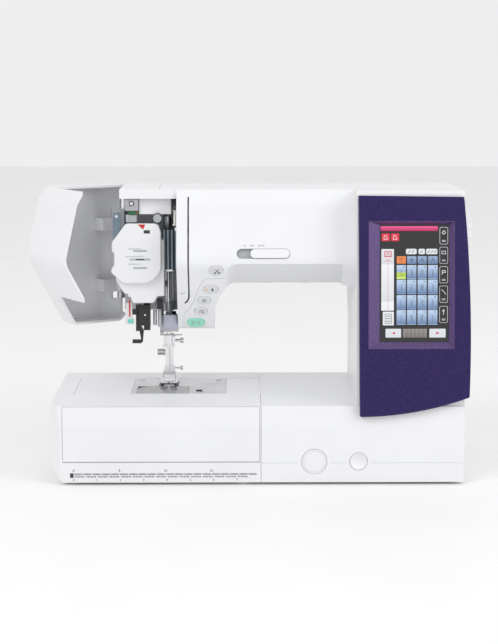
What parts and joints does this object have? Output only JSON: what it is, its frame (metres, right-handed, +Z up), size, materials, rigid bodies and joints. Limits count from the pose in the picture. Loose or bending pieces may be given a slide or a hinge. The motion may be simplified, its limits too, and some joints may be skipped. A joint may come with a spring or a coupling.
{
  "type": "sewing machine",
  "caption": "Computer sewing machine with free arm, sliding storage table, touch screen column, opening face cover, lid and carrying handle.",
  "frame": {"origin": "middle of the base's outline, on the table that the rubber feet stand on; a foot lies there", "axes": "+X to the right along the bed towards the hand wheel, +Y from the user to the back, +Z up"},
  "size_m": [0.5029, 0.1964, 0.318],
  "materials": {
    "casing_white": "satin",
    "inner_grey": "matt",
    "screen_panel": "metallic flake",
    "bezel": "metallic",
    "glass": "gloss",
    "steel": "brushed",
    "chrome": "polished",
    "cast": "as cast",
    "black_plastic": "matt",
    "clear_plastic": "clear",
    "rubber": "matt",
    "mint": "gloss",
    "key_grey": "satin",
    "board": "matt",
    "lens": "gloss",
    "zinc": "satin"
  },
  "bodies": {
    "machine": {"base_tray": "casing_white", "bed_bracket": "cast", "bobbin_holder": "black_plastic", "bobbin_winder": "inner_grey", "circuit_boards": "board", "display_panel": "screen_panel", "drive_belts": "rubber", "face_bracket": "zinc", "face_hinge": "steel", "free_arm_casing": "casing_white", "front_casing": "casing_white", "handle_tray": "inner_grey", "head_plate": "zinc", "lamp_lenses": "lens", "main_frame": "cast", "main_motor": "zinc", "needle_plate": "steel", "power_fittings": "black_plastic", "rear_casing": "casing_white", "rubber_feet": "rubber", "screen_bezel": "bezel", "side_cover": "casing_white", "spool_pin": "inner_grey", "tension_box": "casing_white", "thread_compartment": "inner_grey", "threader_cover": "casing_white", "threader_frame": "black_plastic", "touch_screen": "glass"},
    "main_shaft": {"upper_shaft": "steel", "hand_wheel": "casing_white"},
    "hook_drive_shaft": {"lower_shaft": "steel"},
    "motor_rotor": {"motor_shaft": "steel"},
    "hook": {"rotary_hook": "steel"},
    "bobbin_body": {"bobbin": "clear_plastic"},
    "feed_lift": {"feed_lifter": "steel"},
    "feed": {"feed_dog": "steel"},
    "needle_swing_frame": {"needle_frame": "zinc"},
    "needle_bar_body": {"needle_bar": "chrome", "needle": "chrome"},
    "presser_bar_body": {"presser_bar": "chrome"},
    "foot": {"presser_foot": "chrome"},
    "presser_lift": {"presser_lever": "black_plastic"},
    "take_up": {"take_up_lever": "chrome"},
    "threader": {"threader_lever": "key_grey", "threader_carriage": "black_plastic"},
    "head_cover": {"face_cover": "casing_white"},
    "lid": {"top_lid": "casing_white"},
    "handle": {"carrying_handle": "casing_white"},
    "speed_control": {"speed_slider": "casing_white"},
    "switch_rocker": {"power_switch": "black_plastic"},
    "extension_table": {"extension_table_body": "casing_white"},
    "table_door": {"extension_table_door": "casing_white"},
    "bobbin_cover": {"hook_cover": "clear_plastic"},
    "cover_latch": {"hook_cover_latch": "black_plastic"},
    "winder": {"winder_spindle": "steel"},
    "thread_cutter_key_body": {"thread_cutter_key": "key_grey"},
    "needle_position_key_body": {"needle_position_key": "key_grey"},
    "auto_lock_key_body": {"auto_lock_key": "key_grey"},
    "reverse_key_body": {"reverse_key": "key_grey"},
    "start_stop_key_body": {"start_stop_key": "mint"}
  },
  "joints": [
    {"name": "main_shaft_turn", "type": "hinge", "parent": "machine", "child": "main_shaft", "pos_m": [0.2265, 0.04, 0.258], "axis": [1, 0, 0], "continuous": true},
    {"name": "hook_shaft_turn", "type": "hinge", "parent": "machine", "child": "hook_drive_shaft", "pos_m": [0.1, 0.01, 0.058], "axis": [1, 0, 0], "continuous": true},
    {"name": "motor_turn", "type": "hinge", "parent": "machine", "child": "motor_rotor", "pos_m": [0.16, 0.004, 0.15], "axis": [1, 0, 0], "continuous": true},
    {"name": "hook_turn", "type": "hinge", "parent": "machine", "child": "hook", "pos_m": [-0.103, -0.009, 0.058], "axis": [0, 0, 1], "continuous": true},
    {"name": "bobbin_spin", "type": "hinge", "parent": "machine", "child": "bobbin_body", "pos_m": [-0.103, -0.009, 0.08], "axis": [0, 0, 1], "continuous": true},
    {"name": "feed_lift_slide", "type": "slide", "parent": "machine", "child": "feed_lift", "axis": [0, 0, 1], "range_m": [-0.0016, 0]},
    {"name": "feed_stroke", "type": "slide", "parent": "feed_lift", "child": "feed", "axis": [0, 1, 0], "range_m": [-0.0025, 0.0025]},
    {"name": "zigzag_swing", "type": "slide", "parent": "machine", "child": "needle_swing_frame", "axis": [1, 0, 0], "range_m": [-0.0035, 0.0035]},
    {"name": "needle_bar_stroke", "type": "slide", "parent": "needle_swing_frame", "child": "needle_bar_body", "axis": [0, 0, 1], "range_m": [-0.033, 0]},
    {"name": "presser_lever_lift", "type": "hinge", "parent": "machine", "child": "presser_lift", "pos_m": [-0.095, 0.044, 0.166], "axis": [1, 0, 0], "range_deg": [0, 30.5]},
    {"name": "presser_bar_lift", "type": "slide", "parent": "machine", "child": "presser_bar_body", "axis": [0, 0, 1], "range_m": [0, 0.0079]},
    {"name": "foot_pivot", "type": "hinge", "parent": "presser_bar_body", "child": "foot", "pos_m": [-0.099, 0.026, 0.1014], "axis": [1, 0, 0], "range_deg": [-1, 1]},
    {"name": "take_up_swing", "type": "hinge", "parent": "machine", "child": "take_up", "pos_m": [-0.0888, 0.03, 0.246], "axis": [1, 0, 0], "range_deg": [0, 50]},
    {"name": "threader_press", "type": "slide", "parent": "machine", "child": "threader", "axis": [0, 0, 1], "range_m": [-0.025, 0], "stiffness_N_per_m": 60, "springref_m": 0.004},
    {"name": "face_cover_hinge", "type": "hinge", "parent": "machine", "child": "head_cover", "pos_m": [-0.156, 0.049, 0.235], "axis": [0, 0, 1], "range_deg": [0, 57]},
    {"name": "top_lid_hinge", "type": "hinge", "parent": "machine", "child": "lid", "pos_m": [0.045, 0.0585, 0.3165], "axis": [-1, 0, 0], "range_deg": [0, 85]},
    {"name": "handle_hinge", "type": "hinge", "parent": "machine", "child": "handle", "pos_m": [0.025, 0.0695, 0.3], "axis": [1, 0, 0], "range_deg": [0, 170]},
    {"name": "speed_slide", "type": "slide", "parent": "machine", "child": "speed_control", "axis": [1, 0, 0], "range_m": [-0.0144, 0]},
    {"name": "power_rocker", "type": "hinge", "parent": "machine", "child": "switch_rocker", "pos_m": [0.223, 0.036, 0.048], "axis": [0, 1, 0], "range_deg": [-6, 6]},
    {"name": "extension_table_slide", "type": "slide", "parent": "machine", "child": "extension_table", "axis": [-1, 0, 0], "range_m": [0, 0.25]},
    {"name": "table_door_hinge", "type": "hinge", "parent": "extension_table", "child": "table_door", "pos_m": [-0.1, -0.0937, 0.027], "axis": [1, 0, 0], "range_deg": [0, 88]},
    {"name": "hook_cover_lift", "type": "slide", "parent": "machine", "child": "bobbin_cover", "axis": [0, 0, 1], "range_m": [0, 0.03]},
    {"name": "cover_latch_slide", "type": "slide", "parent": "machine", "child": "cover_latch", "axis": [1, 0, 0], "range_m": [0, 0.003]},
    {"name": "winder_turn", "type": "hinge", "parent": "machine", "child": "winder", "pos_m": [0.16, 0.02, 0.3], "axis": [0, 0, 1], "continuous": true},
    {"name": "thread_cutter_key_press", "type": "slide", "parent": "machine", "child": "thread_cutter_key_body", "axis": [0, 0.8716, 0.4903], "range_m": [0, 0.0012], "stiffness_N_per_m": 300, "springref_m": -0.0005},
    {"name": "needle_position_key_press", "type": "slide", "parent": "machine", "child": "needle_position_key_body", "axis": [0, 0.8716, 0.4903], "range_m": [0, 0.0012], "stiffness_N_per_m": 300, "springref_m": -0.0005},
    {"name": "auto_lock_key_press", "type": "slide", "parent": "machine", "child": "auto_lock_key_body", "axis": [0, 0.8716, 0.4903], "range_m": [0, 0.0012], "stiffness_N_per_m": 300, "springref_m": -0.0005},
    {"name": "reverse_key_press", "type": "slide", "parent": "machine", "child": "reverse_key_body", "axis": [0, 0.8716, 0.4903], "range_m": [0, 0.0012], "stiffness_N_per_m": 300, "springref_m": -0.0005},
    {"name": "start_stop_key_press", "type": "slide", "parent": "machine", "child": "start_stop_key_body", "axis": [0, 0.8716, 0.4903], "range_m": [0, 0.0012], "stiffness_N_per_m": 300, "springref_m": -0.0005}
  ],
  "couplings": [
    {"joint": "hook_shaft_turn", "follows": "main_shaft_turn", "ratio": 1},
    {"joint": "motor_turn", "follows": "main_shaft_turn", "ratio": 2.2857},
    {"joint": "hook_turn", "follows": "main_shaft_turn", "ratio": 2},
    {"joint": "presser_lever_lift", "follows": "presser_bar_lift", "rad_per_m": 66.278}
  ]
}
